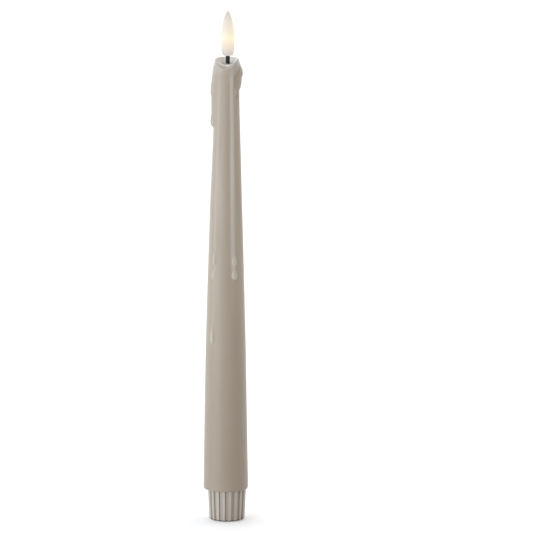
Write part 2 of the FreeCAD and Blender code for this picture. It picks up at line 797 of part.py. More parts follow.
def hollow_coat(body):
    """Clears the tube, the plug and the wick out of the coat, and cuts the bowl and its front notch."""
    hollow = [
        ("0", "wax_bottom - 1"),
        ("wax_lip_bore", "wax_bottom - 1"),
        ("wax_lip_bore", "foot_height + shell_gap"),
        ("liner_base_radius", "foot_height + shell_gap"),
        ("liner_waist_radius", "liner_waist"),
        ("liner_top_radius", "liner_top"),
        ("plug_flange_radius", "liner_top"),
        ("plug_flange_radius", "liner_top + plug_flange_height"),
        ("wick_radius", "liner_top + plug_flange_height"),
        ("wick_radius", "bowl_floor"),
        ("bowl_floor_radius", "bowl_floor"),
        ("bowl_rim_radius", "wax_rim - 0.6"),
        ("bowl_rim_radius + 0.5", "wax_rim"),
        ("bowl_rim_radius + 0.5", "wax_rim + 1"),
        ("0", "wax_rim + 1"),
    ]
    turned(body, "hollow", outline(new_sketch(body, "hollow_section"), hollow), "Groove")
    notch = new_sketch(body, "notch_section")
    circle(notch, "notch_radius", up="notch_centre")
    feature(body, "Pocket", "notch", notch, Length="20").Reversed = True


def coat_place(height, angle, sunk):
    """Expressions for X and Y of a point sunk under the coat's surface at a height and angle."""
    slope = "(wax_shoulder_radius - wax_waist_radius) / (wax_shoulder - wax_waist)"
    reach = f"(wax_waist_radius + {slope} * ({height} - wax_waist) - ({sunk}))"
    return f"wax_offset + {reach} * sin({angle})", f"-{reach} * cos({angle})"


def add_bead(body, name, height, angle, radius, length, relief):
    """A long drop of wax, sunk into the coat so that it stands out by its relief."""
    bead = body.newObject("PartDesign::AdditiveEllipsoid", name)
    bind(bead, Radius1=f"{length} / 2", Radius2=radius, Radius3=radius)
    bead.Angle1, bead.Angle2, bead.Angle3 = -90, 90, 360
    across, up = coat_place(height, angle, f"{radius} - {relief}")
    bind(bead, Placement__Base__x=across, Placement__Base__y=up, Placement__Base__z=height)


def add_run(body, name):
    """A ridge of wax from the melted collar down to where it ends in a bead."""
    sections = []
    top, end = "run_top", f"{name}_end"
    first, last = f"{name}_top_angle", f"{name}_end_angle"
    for share in (0, 0.5, 1):
        height = f"({top} + ({end} - {top}) * {share})"
        angle = f"({first} + ({last} - {first}) * {share})"
        section = new_sketch(body, f"{name}_{'abc'[int(share * 2)]}", "XY_Plane", height=height)
        across, up = coat_place(height, angle, "run_radius - run_relief")
        sections.append(circle(section, "run_radius", across, up))
    run = body.newObject("PartDesign::AdditiveLoft", f"{name}_run")
    run.Profile = sections[0]
    run.Sections = sections[1:]
    run.Ruled = True
    add_bead(body, f"{name}_bead", end, last, "bead_radius", "bead_length", "bead_relief")


def add_runs(body):
    """The runs round the coat, two small drops below the front ones, and the broad blob on the right."""
    for name in ("front_right", "front_left", "left", "back_left", "back_right"):
        add_run(body, name)
    small = ("drop_radius", "drop_length", "bead_relief * 0.7")
    add_bead(body, "front_right_drop", "front_right_end - 6", "front_right_end_angle + 1", *small)
    add_bead(body, "front_left_drop", "front_left_end - 6", "front_left_end_angle", *small)
    add_bead(body, "low_drop", "front_left_end - 35", "front_left_end_angle + 1", *small)
    blob = ("blob_radius", "blob_length", "blob_relief")
    add_bead(body, "blob", "blob_height", "blob_angle", *blob)


def make_plug():
    """The plug that closes the tube's top and holds the wick sleeve."""
    section = [
        ("wick_radius", "plug_bottom"),
        ("plug_radius", "plug_bottom"),
        ("plug_radius", "liner_top"),
        ("plug_flange_radius", "liner_top"),
        ("plug_flange_radius", "liner_top + plug_flange_height"),
        ("wick_radius", "liner_top + plug_flange_height"),
    ]
    return turned_body("wick_plug", section)


def make_wick():
    """The black wick sleeve that carries the flame tip and hides the leads."""
    section = tube_corners("wick_bore_radius", "wick_radius", "wick_bottom", "wick_top")
    return turned_body("wick_sleeve", section)


def make_flame():
    """The flame-shaped diffuser: a round heel, a belly and a long ogive to a blunt tip, hollow inside."""
    body = new_body("flame_diffuser")
    foot_height = size("flame_bottom")
    foot = Vector(size("flame_foot_radius"), foot_height, 0)
    heel = Vector(size("flame_heel_radius"), size("flame_bottom + flame_heel_height"), 0)
    belly = Vector(size("flame_belly_radius"), size("flame_bottom + flame_belly_height"), 0)
    tip = Vector(0, size("flame_tip"), 0)
    bend = Vector((foot.x + heel.x) / 2 + 0.2, (foot.y + heel.y) / 2 - 0.25, 0)
    flank = Vector((heel.x + belly.x) / 2 + 0.06, (heel.y + belly.y) / 2, 0)
    ogive = Vector(belly.x * 0.76, belly.y + (tip.y - belly.y) * 0.56, 0)
    cap = size("flame_tip_radius")
    neck = tip + Vector(cap * math.cos(CAP_SLOPE), cap * math.sin(CAP_SLOPE) - cap, 0)
    half = (CAP_SLOPE + math.pi / 2) / 2
    brow = tip + Vector(cap * math.cos(half), cap * math.sin(half) - cap, 0)
    socket = size("wick_radius")
    ceiling = size("wick_top")
    chamber = size("flame_belly_radius - flame_wall - 0.4")
    dome = size("flame_chamber_top")
    inside = [
        Vector(0, dome, 0),
        Vector(chamber * 0.7, dome - 0.6, 0),
        Vector(chamber, dome - 2.5, 0),
        Vector(chamber, ceiling, 0),
        Vector(socket, ceiling, 0),
        Vector(socket, foot_height, 0),
    ]
    section = new_sketch(body, "flame_section")
    edges = [Part.LineSegment(start, end) for start, end in zip(inside, inside[1:])]
    edges += [
        Part.LineSegment(inside[-1], foot),
        Part.Arc(foot, bend, heel),
        Part.Arc(heel, flank, belly),
        Part.Arc(belly, ogive, neck),
        Part.Arc(neck, brow, tip),
        Part.LineSegment(tip, inside[0]),
    ]
    for edge in edges:
        section.addGeometry(edge, False)
    turned(body, "flame", section)
    return body


def make_led():
    """The domed light-emitting diode inside the flame tip."""
    body = new_body("led_emitter")
    section = new_sketch(body, "led_section")
    bottom, top = size("led_bottom"), size("led_barrel_top")
    flange, barrel = size("led_flange_radius"), size("led_radius")
    shelf = bottom + size("led_flange_height")
    corners = [Vector(0, bottom, 0), Vector(flange, bottom, 0), Vector(flange, shelf, 0)]
    corners += [Vector(barrel, shelf, 0), Vector(barrel, top, 0)]
    for start, end in zip(corners, corners[1:]):
        section.addGeometry(Part.LineSegment(start, end), False)
    crown = Vector(0, top + barrel, 0)
    slant = barrel * math.sin(math.pi / 4)
    section.addGeometry(Part.Arc(corners[-1], Vector(slant, top + slant, 0), crown), False)
    section.addGeometry(Part.LineSegment(crown, corners[0]), False)
    turned(body, "led", section)
    return body


def rounded_path(points):
    """Straight runs through the points, joined by tangent arcs as large as the runs allow."""
    edges = []
    start = points[0]
    for before, at, after in zip(points, points[1:], points[2:]):
        towards, away = (at - before), (after - at)
        reach = 0.45 * min(towards.Length, away.Length)
        towards.normalize()
        away.normalize()
        enter, leave = at - towards * reach, at + away * reach
        bisector = (away - towards).normalize()
        half_turn = towards.getAngle(away) / 2
        radius = reach / math.tan(half_turn)
        middle = at + bisector * (radius / math.cos(half_turn) - radius)
        edges.append(Part.LineSegment(start, enter).toShape())
        edges.append(Part.Arc(enter, middle, leave).toShape())
        start = leave
    edges.append(Part.LineSegment(start, points[-1]).toShape())
    return Part.Wire(edges)


def make_lead(label, points):
    """One insulated lead, a round wire along its route."""
    path = rounded_path(points)
    start, heading = points[0], points[1] - points[0]
    section = Part.Wire(Part.makeCircle(size("lead_radius"), start, heading))
    lead = doc.addObject("Part::Feature", label)
    lead.Label = label
    lead.Shape = path.makePipeShell([section], True, False)
    return lead


def make_leads():
    """The two leads, from the diode down the wick sleeve and the tube to the contact block."""
    top, sleeve_end = size("led_bottom"), size("wick_bottom")
    spread, tab = size("lead_spread"), size("(crown_inner_radius + crown_outer_radius) / 2")
    end = size("pin_top")
    positive = [
        Vector(spread, 0, top),
        Vector(spread, 0, sleeve_end - 2),
        Vector(1.5, 0.6, 194),
        Vector(1.0, -1.2, 167),
        Vector(1.2, 0.5, 140),
        Vector(0, 0, end + 10),
        Vector(0, 0, end + 0.02),
    ]
    negative = [
        Vector(-spread, 0, top),
        Vector(-spread, 0, sleeve_end - 2),
        Vector(-1.4, -0.8, 190),
        Vector(-2.2, 0.9, 163),
        Vector(-3.4, 0.2, 138),
        Vector(-tab, 0, end + 9),
        Vector(-tab, 0, end + 0.02),
    ]
    return [make_lead("led_lead_positive", positive), make_lead("led_lead_negative", negative)]


def make_contact_block():
    """The insulating disc pressed up to the tube's shoulder, which carries the shell's contacts."""
    body = new_body("contact_block")
    disc = circle(new_sketch(body, "disc", "XY_Plane", height="block_bottom"), "block_radius")
    feature(body, "Pad", "block", disc, Length="liner_shoulder - block_bottom")
    holes = new_sketch(body, "holes", "XY_Plane", height="block_bottom")
    circle(holes, "pin_shank_radius")
    for side in ("", "-"):
        middle = f"{side}(crown_inner_radius + crown_outer_radius) / 2"
        rectangle(holes, "tab_thickness", "tab_width", across=middle)
    feature(body, "Pocket", "drilled", holes, Length="4").Reversed = True
    return body


def make_centre_contact():
    """The rivet over the cradle's button."""
    section = [
        ("0", "pin_head_bottom"),
        ("pin_head_radius", "pin_head_bottom"),
        ("pin_head_radius", "block_bottom"),
        ("pin_shank_radius", "block_bottom"),
        ("pin_shank_radius", "pin_top"),
        ("0", "pin_top"),
    ]
    return turned_body("centre_contact", section)


def make_crown_contact():
    """The ring over the cradle's ring, on two tabs that pass through the block."""
    body = new_body("crown_contact")
    radii = ("crown_inner_radius", "crown_outer_radius")
    ring = tube_corners(*radii, "crown_bottom", "crown_bottom + crown_thickness")
    turned(body, "crown", outline(new_sketch(body, "crown_section"), ring))
    for name, side in (("right", ""), ("left", "-")):
        tab = new_sketch(body, f"{name}_tab_section", "XY_Plane", height="crown_bottom + 0.1")
        middle = f"{side}(crown_inner_radius + crown_outer_radius) / 2"
        rectangle(tab, "tab_thickness", "tab_width", across=middle)
        feature(body, "Pad", f"{name}_tab", tab, Length="pin_top - crown_bottom - 0.1")
    return body


# ---------------------------------------------------------------- document


def make_parts():
    """Every part of the candle, in the order that it goes together."""
    parts = [make_foot_cup(), make_board(), make_slip_ring(), make_switch_housing(), make_switch_pins()]
    parts += [make_slider(), make_board_screws(), make_spring()]
    parts.append(make_chip("timer_chip", "2.9", "1.6", "1.1", "2.4", "3.3"))
    parts.append(make_chip("bypass_capacitor", "2.0", "1.25", "0.8", "2.6", "-3.2"))
    resistors = [
        make_chip("led_resistor", "1.6", "0.8", "0.45", "-2.6", "3.0"),
        make_chip("pull_resistor", "1.6", "0.8", "0.45", "-2.6", "-3.0"),
    ]
    parts.append(group("chip_resistors", resistors))
    parts += [make_cradle(), *make_cells(), make_positive_contact(), make_return_strip()]
    parts += [make_liner(), make_wax_coat(), make_plug(), make_wick(), make_flame(), make_led()]
    parts += [*make_leads(), make_contact_block(), make_centre_contact(), make_crown_contact()]
    return parts


def check(parts):
    """Stops if any object failed to recompute or any part isn't a valid shape with volume."""
    for item in doc.Objects:
        if {"Invalid", "Error"} & set(item.State):
            raise RuntimeError(f"{item.Label} failed to recompute: {item.State}")
    for part in parts:
        shape = part.Shape
        if shape.isNull() or not shape.isValid() or shape.Volume <= 0:
            raise RuntimeError(f"{part.Label} is not a valid solid")
        print(f"{part.Label:24s} solids {len(shape.Solids)}  volume {shape.Volume:10.2f} mm3")


def export(parts):
    """Writes each part to its own STEP file."""
    os.makedirs("parts", exist_ok=True)
    for part in parts:
        part.Shape.exportStep(os.path.join("parts", f"{part.Label}.step"))


fill_sheet()
candle = make_parts()
doc.recompute()
check(candle)
export(candle)
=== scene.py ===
"""Flameless LED candle: the looks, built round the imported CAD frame. Lengths in the code are in mm."""
import math

import bpy
import numpy as np
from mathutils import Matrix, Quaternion, Vector


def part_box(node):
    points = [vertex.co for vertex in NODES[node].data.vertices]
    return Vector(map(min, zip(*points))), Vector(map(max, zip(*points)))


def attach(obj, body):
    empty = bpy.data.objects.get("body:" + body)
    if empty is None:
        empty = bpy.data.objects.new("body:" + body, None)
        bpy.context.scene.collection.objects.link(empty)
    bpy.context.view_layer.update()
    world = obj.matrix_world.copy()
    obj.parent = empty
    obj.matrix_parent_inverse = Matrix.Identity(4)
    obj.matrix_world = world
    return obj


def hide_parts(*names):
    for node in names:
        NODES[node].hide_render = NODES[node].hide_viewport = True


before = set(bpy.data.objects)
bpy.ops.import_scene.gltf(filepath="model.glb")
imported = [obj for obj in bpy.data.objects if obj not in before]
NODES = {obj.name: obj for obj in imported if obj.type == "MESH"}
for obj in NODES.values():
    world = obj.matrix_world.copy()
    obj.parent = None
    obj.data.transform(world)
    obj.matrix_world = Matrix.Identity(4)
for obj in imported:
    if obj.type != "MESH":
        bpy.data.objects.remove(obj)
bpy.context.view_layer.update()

MM = 0.001


def top_of(node):
    """The height of a CAD node's highest point, in mm."""
    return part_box(node)[1].z / MM


def bottom_of(node):
    """The height of a CAD node's lowest point, in mm."""
    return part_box(node)[0].z / MM


# ---------------------------------------------------------------- meshes


def smoothstep(low, high, value):
    """0 below low, 1 above high, and a smooth curve in between."""
    share = np.clip((value - low) / (high - low), 0.0, 1.0)
    return share * share * (3.0 - 2.0 * share)


def new_piece(name, body, verts, faces, material):
    """A smooth-shaded mesh piece that rides on a body. verts are in mm."""
    mesh = bpy.data.meshes.new(name)
    mesh.from_pydata((np.asarray(verts) * MM).tolist(), [], faces)
    mesh.polygons.foreach_set("use_smooth", [True] * len(mesh.polygons))
    mesh.update()
    piece = bpy.data.objects.new(name, mesh)
    bpy.context.scene.collection.objects.link(piece)
    mesh.materials.append(material)
    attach(piece, body)
    return piece


def paint(piece, name, shares):
    """Stores a share from 0 to 1 at each vertex, which the piece's material reads."""
    attribute = piece.data.attributes.new(name, "FLOAT", "POINT")
    attribute.data.foreach_set("value", np.asarray(shares, np.float32).ravel())


def ring_faces(rings, columns, closed=False):
    """Quads between rings of points. A closed skin joins its last ring to its first."""
    faces = []
    for row in range(rings if closed else rings - 1):
        low = row * columns
        high = ((row + 1) % rings) * columns
        for column in range(columns):
            after = (column + 1) % columns
            faces.append((low + column, low + after, high + after, high + column))
    return faces


# ---------------------------------------------------------------- wax coat

WAX_COLUMNS = 300
WAX_ROWS = 480
# The plain coat, without its runs: height, radius, and how far its centre lies along X.
PROFILE = [
    (15.0, 11.15, -0.51),
    (19.5, 11.13, -0.52),
    (35.0, 10.87, -0.62),
    (60.0, 10.47, -0.72),
    (86.0, 10.00, -0.72),
    (111.0, 9.36, -0.73),
    (136.0, 8.62, -0.71),
    (161.0, 7.82, -0.66),
    (186.0, 6.93, -0.48),
    (196.0, 6.60, -0.44),
    (208.0, 6.36, -0.52),
    (216.0, 6.26, -0.54),
    (220.0, 6.32, -0.46),
    (224.0, 6.58, -0.38),
    (226.6, 6.76, -0.30),
    (228.0, 6.68, -0.31),
    (229.0, 6.46, -0.33),
    (230.0, 6.18, -0.36),
    (231.0, 5.86, -0.40),
    (232.0, 5.48, -0.44),
]
# Long flutes that the melted wax left: angle from the front towards +X, and relief.
FLUTES = [
    (-180, 0.10), (-164, -0.22), (-148, 0.30), (-133, -0.18), (-118, 0.12), (-104, -0.10), (-88, 0.06),
    (-70, 0.05), (-58, 0.09), (-49, 0.10), (-43, 0.08), (-37, 0.07), (-29, -0.05), (-23, -0.12), (-16, -0.15),
    (-9, -0.16), (-3, -0.17), (4, -0.21), (9, -0.25), (14, -0.28), (19, -0.18), (24, 0.02), (29, 0.27),
    (32, 0.27), (36, -0.08), (40, -0.21), (48, -0.26), (58, -0.17), (70, 0.00), (86, 0.02), (102, -0.14),
    (118, 0.24), (134, -0.20), (150, 0.28), (166, -0.14),
]
# Runs of melted wax: how pale the run is, then lines of height, angle from the front towards +X, relief,
# and the widths of its left and right flanks.
# A run's paleness is partly a paler wax and partly painted highlight on its lit flank.
RUNS = {
    "front_right": (0.85, [
        (122.6, 28.0, 0.00, 1.2, 0.9),
        (124.6, 28.0, 0.14, 1.6, 0.9),
        (131.0, 26.5, 0.20, 1.8, 0.9),
        (138.0, 24.0, 0.14, 1.5, 1.1),
        (200.0, 24.0, 0.12, 1.2, 1.0),
        (216.0, 23.0, 0.10, 1.1, 0.9),
        (229.0, 17.0, 0.00, 1.2, 0.9),
    ]),
    "front_left": (0.32, [
        (90.0, -42.5, 0.00, 0.7, 0.7),
        (97.0, -42.0, 0.10, 0.7, 0.7),
        (112.0, -40.0, 0.12, 0.8, 0.8),
        (140.0, -39.0, 0.16, 0.9, 0.9),
        (166.0, -42.0, 0.13, 0.9, 1.0),
        (205.0, -38.0, 0.10, 0.9, 1.0),
        (228.0, -36.0, 0.00, 1.0, 1.0),
    ]),
    "left": (0.35, [
        (197.2, -84.0, 0.00, 1.5, 1.6),
        (198.0, -84.0, 0.66, 1.5, 1.7),
        (199.4, -84.0, 1.08, 1.5, 1.8),
        (209.0, -84.0, 1.22, 1.6, 1.8),
        (213.6, -84.0, 1.34, 1.7, 1.9),
        (218.0, -83.0, 1.26, 1.9, 2.2),
        (222.0, -82.0, 1.00, 2.0, 2.6),
        (226.0, -80.0, 0.42, 2.2, 2.6),
        (229.5, -76.0, 0.00, 2.2, 2.6),
    ]),
    "back_left": (0.6, [
        (144.0, -136.0, 0.00, 1.0, 1.0),
        (148.0, -136.0, 0.40, 1.0, 1.0),
        (170.0, -134.0, 0.44, 1.1, 1.2),
        (212.0, -130.0, 0.50, 1.2, 1.4),
        (225.0, -128.0, 0.24, 1.5, 1.6),
        (230.0, -128.0, 0.00, 1.6, 1.6),
    ]),
    "back_right": (0.6, [
        (172.0, 160.0, 0.00, 1.2, 1.2),
        (176.0, 160.0, 0.50, 1.2, 1.2),
        (200.0, 157.0, 0.46, 1.3, 1.2),
        (220.0, 153.0, 0.50, 1.6, 1.5),
        (226.0, 152.0, 0.24, 1.8, 1.8),
        (230.0, 152.0, 0.00, 1.8, 1.8),
    ]),
    "right_back": (0.5, [
        (188.0, 128.0, 0.00, 1.0, 1.0),
        (191.0, 128.0, 0.36, 1.0, 1.0),
        (214.0, 126.0, 0.40, 1.1, 1.3),
        (224.0, 125.0, 0.20, 1.4, 1.6),
        (229.0, 125.0, 0.00, 1.4, 1.6),
    ]),
}
# Beads and drops: height of the widest point, angle, height above it, height below it, half width, relief
# and how pale it is.
# A bead's paleness is partly a paler wax and partly painted highlight.
BEADS = [
    (131.2, 28.4, 3.8, 1.7, 1.35, 0.52, 0.9),
    (124.4, 28.6, 3.3, 2.2, 1.60, 0.58, 0.9),
    (131.8, -41.5, 4.6, 2.2, 1.15, 0.34, 0.6),
    (124.2, -44.5, 3.4, 2.1, 1.00, 0.36, 0.7),
    (92.6, -43.8, 7.0, 2.7, 1.40, 0.62, 0.6),
    (200.6, -84.0, 3.4, 2.3, 1.90, 0.42, 0.35),
    (215.4, -84.0, 5.4, 2.3, 1.90, 0.36, 0.35),
    (148.2, -136.0, 5.5, 2.8, 1.35, 0.55, 0.8),
    (177.0, 160.0, 6.0, 3.0, 1.55, 0.55, 0.8),
    (192.6, 128.0, 5.0, 2.5, 1.25, 0.45, 0.7),
    (220.8, 80.0, 8.0, 4.6, 5.00, 0.98, 0.0),
    (224.9, 84.0, 1.9, 2.4, 1.90, 0.42, 0.0),
    (215.2, 42.0, 3.2, 1.9, 1.20, 0.34, 0.2),
    (213.6, 62.0, 4.0, 2.2, 0.90, 0.30, 0.1),
]
# The rim's crest: angle from the front towards +X, and height.
RIM = [
    (-180, 231.9), (-112, 231.9), (-96, 231.2), (-80, 230.3), (-51, 229.2), (-25, 228.4), (-5, 227.8),
    (10, 228.1), (20, 228.7), (28, 229.4), (40, 230.2), (57, 231.0), (76, 231.6), (95, 231.9), (180, 231.9),
]
WAX_TOP = 232.0
BOWL_FLOOR = 228.85
BOWL_EDGE = 1.35  # the bowl floor's radius where it meets the meniscus
LIP_BORE = 9.8
TUBE_RADIUS = 9.2  # the bore round the tube, at the tube's lower end
WAIST_RADIUS = 7.8  # and at the tube's waist
WAIST = 113.0
TUBE_TOP_RADIUS = 4.2
PLUG_RADIUS = 4.0
WICK_HOLE = 1.02
FILLET_STEPS = 8
RIM_STEPS = 10
BOWL_STEPS = 16
BEAD_BLUNTNESS = 0.62  # below 1, a bead's dome rises steeply at its edge


def column(table, index):
    return np.array([line[index] for line in table], float)


def around_curve(table, theta, blur):
    """A closed curve of (angle, value) stations, smoothed over blur degrees to each side."""
    fine = np.arange(-180.0, 180.0, 0.5)
    angles, values = column(table, 0), column(table, 1)
    level = np.interp(fine, angles, values, period=360)
    kernel = np.hanning(2 * int(blur * 2) + 3)
    reach = len(kernel) // 2
    wide = np.concatenate([level[-reach:], level, level[:reach]])
    smooth = np.convolve(wide, kernel / kernel.sum(), mode="valid")
    return np.interp(theta, fine, smooth, period=360)


def up_curve(heights, values, z, blur=2.5):
    """A curve up the candle through stations, smoothed over blur mm to each side."""
    fine = np.arange(heights[0] - 8.0, heights[-1] + 8.0, 0.25)
    slope_low = (values[1] - values[0]) / (heights[1] - heights[0])
    level = np.interp(fine, heights, values)
    level = np.where(fine < heights[0], values[0] + slope_low * (fine - heights[0]), level)
    kernel = np.hanning(2 * int(blur * 4) + 3)
    smooth = np.convolve(level, kernel / kernel.sum(), mode="same")
    return np.interp(z, fine, smooth)


def wax_centre(z):
    """How far the coat's own axis lies along X at a height."""
    return up_curve(column(PROFILE, 0), column(PROFILE, 2), z, 5.0)


def taper(z):
    """The plain coat's radius at a height."""
    heights, radii = column(PROFILE, 0), column(PROFILE, 1)
    soft, crisp = up_curve(heights, radii, z, 6.0), up_curve(heights, radii, z, 0.8)
    return soft + (crisp - soft) * smoothstep(218.0, 224.0, z)


def flanked(offset, left, right):
    """A bell curve across a run, with its own width on each side."""
    width = np.where(offset < 0, left, right)
    return np.exp(-((offset / width) ** 2))


def arc_offset(theta, angle, radius):
    """How far along the surface a column lies from an angle, in mm, positive towards +X."""
    turn = (theta - angle + 180.0) % 360.0 - 180.0
    return np.radians(turn) * radius


def run_shape(theta, z, radius, stations):
    """One run at every point of the coat: its relief on the crest there, and a bell curve across it."""
    heights = column(stations, 0)
    angle, amount, left, right = (np.interp(z, heights, column(stations, index)) for index in (1, 2, 3, 4))
    amount = np.where((z < heights[0]) | (z > heights[-1]), 0.0, amount)
    return amount, flanked(arc_offset(theta, angle, radius), left, right)


def bead_dome(theta, z, radius, bead):
    """One bead, from 0 at its edge to 1 in its middle: blunt below and drawn out above."""
    height, angle, above, below, half_width = bead[:5]
    up = np.where(z > height, (z - height) / above, (height - z) / below)
    narrow = 1.0 - 0.45 * smoothstep(0.0, 1.0, np.where(z > height, up, 0.0))
    across = arc_offset(theta, angle, radius) / (half_width * narrow)
    return np.clip(1.0 - across**2 - up**2, 0.0, None)


def flute_relief(theta, z):
    """The long flutes, at their strongest in the upper half, gone in the lower third and down to under half
    strength at the rim.
    """
    drift = 1.2 * np.sin(z / 23.0)
    amount = smoothstep(84.0, 150.0, z) * (1.0 - 0.55 * smoothstep(219.0, 227.0, z))
    wander = 1.0 + 0.16 * np.sin(z / 9.0 + np.radians(3 * theta))
    return amount * wander * around_curve(FLUTES, theta + drift, 3.0)


def ripple(theta, z):
    """Slow hand-made unevenness in the coat, from a few sine waves."""
    a = np.radians(theta)
    slow = np.sin(3 * a + 0.011 * z + 0.6) + 0.8 * np.sin(5 * a - 0.017 * z + 2.1)
    mid = np.sin(2 * a + 0.055 * z + 1.3) + 0.6 * np.sin(0.09 * z - a + 4.0)
    low_calm = 0.35 + 0.65 * smoothstep(70, 150, z)
    return low_calm * (0.020 * slow + 0.016 * mid)


def wax_radius(theta, z):
    """The coat's outer radius about its own axis."""
    radius = taper(z)
    relief = ripple(theta, z) + flute_relief(theta, z)
    for _, stations in RUNS.values():
        amount, bell = run_shape(theta, z, radius, stations)
        relief = relief + amount * bell
    for bead in BEADS:
        relief = relief + bead[5] * bead_dome(theta, z, radius, bead) ** BEAD_BLUNTNESS
    return radius + relief


def drip_share(theta, z):
    """How far a point belongs to a run or a bead, whose wax set last and is smoother; its paler colour is
    partly that wax and partly painted highlight.
    """
    radius = taper(z)
    share = np.zeros_like(theta + z)
    for pale, stations in RUNS.values():
        amount, bell = run_shape(theta, z, radius, stations)
        share = np.maximum(share, pale * smoothstep(0.0, 0.06, amount) * smoothstep(0.25, 0.85, bell))
    for bead in BEADS:
        share = np.maximum(share, bead[6] * smoothstep(0.0, 0.25, bead_dome(theta, z, radius, bead)))
    return share


def rim_height(theta):
    """The height of the rim's crest round the bowl."""
    turn = np.radians(theta)
    wobble = 0.07 * np.sin(4 * turn + 0.7) + 0.05 * np.sin(7 * turn + 0.2)
    return around_curve(RIM, theta, 7.0) + wobble


def make_wax(material):
    """The wax coat: runs and beads outside, a melted bowl on top, and its fit round the tube inside."""
    theta = np.linspace(-180, 180, WAX_COLUMNS, endpoint=False)
    low = bottom_of("wax_coat")
    crest = rim_height(theta)
    rows, drips, bowls = [], [], []

    def add(radius, z, centre=None, drip=0.0, bowl=0.0):
        z = np.broadcast_to(np.asarray(z, float), theta.shape)
        middle = wax_centre(z) if centre is None else centre
        angle = np.radians(theta)
        rows.append(np.column_stack([middle + radius * np.sin(angle), -radius * np.cos(angle), z]))
        drips.append(np.broadcast_to(drip, theta.shape))
        bowls.append(np.broadcast_to(bowl, theta.shape))

    liner_low = bottom_of("liner_tube")
    # the lip: from the tube's end, down the lip's bore and round its fillet
    add(TUBE_RADIUS, liner_low, 0.0)
    add(LIP_BORE, liner_low, 0.0)
    add(LIP_BORE, low + 0.12, 0.0)
    side_share = np.sin(np.radians(theta))
    fillet = 1.10 + 0.35 * side_share
    lip_top = low + fillet
    base = wax_radius(theta, lip_top)
    inward = np.minimum(fillet, base + wax_centre(lip_top) * side_share - LIP_BORE - 0.06)
    for step in range(FILLET_STEPS + 1):
        bend = math.pi / 2 * step / FILLET_STEPS
        add(base - inward * (1 - math.sin(bend)), low + fillet * (1 - math.cos(bend)))
    # the side, up to where the rim begins to roll in
    front = smoothstep(231.0, 228.0, crest)
    roll, lean = 0.9 + 0.8 * front, 0.72 + 0.80 * front
    for step in range(1, WAX_ROWS):
        z = lip_top + (crest - roll - lip_top) * step / (WAX_ROWS - 1)
        add(wax_radius(theta, z), z, drip=drip_share(theta, z))
    # the rim: over its crest
    side = wax_radius(theta, crest - roll)
    # painted light: the rim's crest and the bowl's upper wall are painted paler where they catch the light,
    # fading out on the shaded floor round the wick
    pale_crest = 0.12 + 0.43 * smoothstep(228.8, 231.0, crest)
    for step in range(1, RIM_STEPS + 1):
        bend = math.pi / 2 * step / RIM_STEPS
        pale = pale_crest * (step / RIM_STEPS) ** 2
        add(side - lean * (1 - math.cos(bend)), crest - roll * (1 - math.sin(bend)), bowl=pale)
    # the bowl, from the crest down to its floor, or up to it over the low front lip
    inner = side - lean
    for share in np.linspace(0.0, 1.0, BOWL_STEPS + 1)[1:]:
        radius = inner + (BOWL_EDGE - inner) * share
        ease = 0.5 * (1 + math.cos(math.pi * share**0.62))
        level = BOWL_FLOOR + (crest - BOWL_FLOOR) * ease
        pale = pale_crest + (0.85 - pale_crest) * smoothstep(0.0, 0.2, share)
        pale = pale * smoothstep(0.95, 0.40, share)  # none is left at the wick
        add(radius, level, wax_centre(WAX_TOP) * (1 - share), bowl=pale)
    # a meniscus where the wax meets the wick
    add(1.16, BOWL_FLOOR + 0.08, 0.0)
    add(1.08, BOWL_FLOOR + 0.20, 0.0)
    add(WICK_HOLE, BOWL_FLOOR + 0.26, 0.0)
    # the fit round the wick, the plug and the tube
    flange, tube_top = top_of("wick_plug"), top_of("liner_tube")
    add(WICK_HOLE, flange, 0.0)
    add(PLUG_RADIUS, flange, 0.0)
    add(PLUG_RADIUS, tube_top, 0.0)
    add(TUBE_TOP_RADIUS, tube_top, 0.0)
    for z in (200.0, 172.0, 144.0):
        add(TUBE_TOP_RADIUS + (WAIST_RADIUS - TUBE_TOP_RADIUS) * (tube_top - z) / (tube_top - WAIST), z, 0.0)
    for z in (WAIST, 90.0, 65.0, 40.0):
        add(WAIST_RADIUS + (TUBE_RADIUS - WAIST_RADIUS) * (WAIST - z) / (WAIST - liner_low), z, 0.0)
    points = np.vstack(rows)
    faces = ring_faces(len(rows), WAX_COLUMNS, closed=True)
    piece = new_piece("wax_skin", "shell", points, faces, material)
    paint(piece, "drip", np.concatenate(drips))
    paint(piece, "bowl", np.concatenate(bowls))
    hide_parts("wax_coat")


# ---------------------------------------------------------------- flame tip and wick

# The flame's outer surface: radius and height over its lowest point.
FLAME = [
    (1.05, 0.06), (1.60, 0.00), (2.10, 0.10), (2.60, 0.60), (2.93, 1.40), (3.12, 2.30), (3.26, 3.50),
    (3.38, 5.00), (3.44, 6.70), (3.43, 8.30), (3.36, 9.90), (3.23, 11.60), (3.03, 13.40), (2.76, 15.20),
    (2.41, 16.90), (2.00, 18.40), (1.60, 19.60), (1.20, 20.60), (0.82, 21.42), (0.52, 21.96), (0.26, 22.28),
]
FLAME_TIP = 22.40
CHAMBER_TOP = 9.9  # the top of the hollow round the diode, over the flame's lowest point
SLEEVE_RADIUS = 0.98
SLEEVE_BORE = 0.74
BRAID_STRANDS = 8
BRAID_PITCH = 5.2
BRAID_RELIEF = 0.055


def curve_through(points, steps):
    """A smooth curve through points, with a number of steps from each to the next."""
    points = np.array(points, float)
    padded = np.vstack([2 * points[0] - points[1], points, 2 * points[-1] - points[-2]])
    made = []
    for before, start, end, after in zip(padded, padded[1:], padded[2:], padded[3:]):
        for share in np.linspace(0, 1, steps, endpoint=False):
            square, cube = share**2, share**3
            twist = 2 * before - 5 * start + 4 * end - after
            turn = 3 * start - before - 3 * end + after
            made.append(0.5 * ((2 * start) + (end - before) * share + twist * square + turn * cube))
    made.append(points[-1])
    return np.array(made)


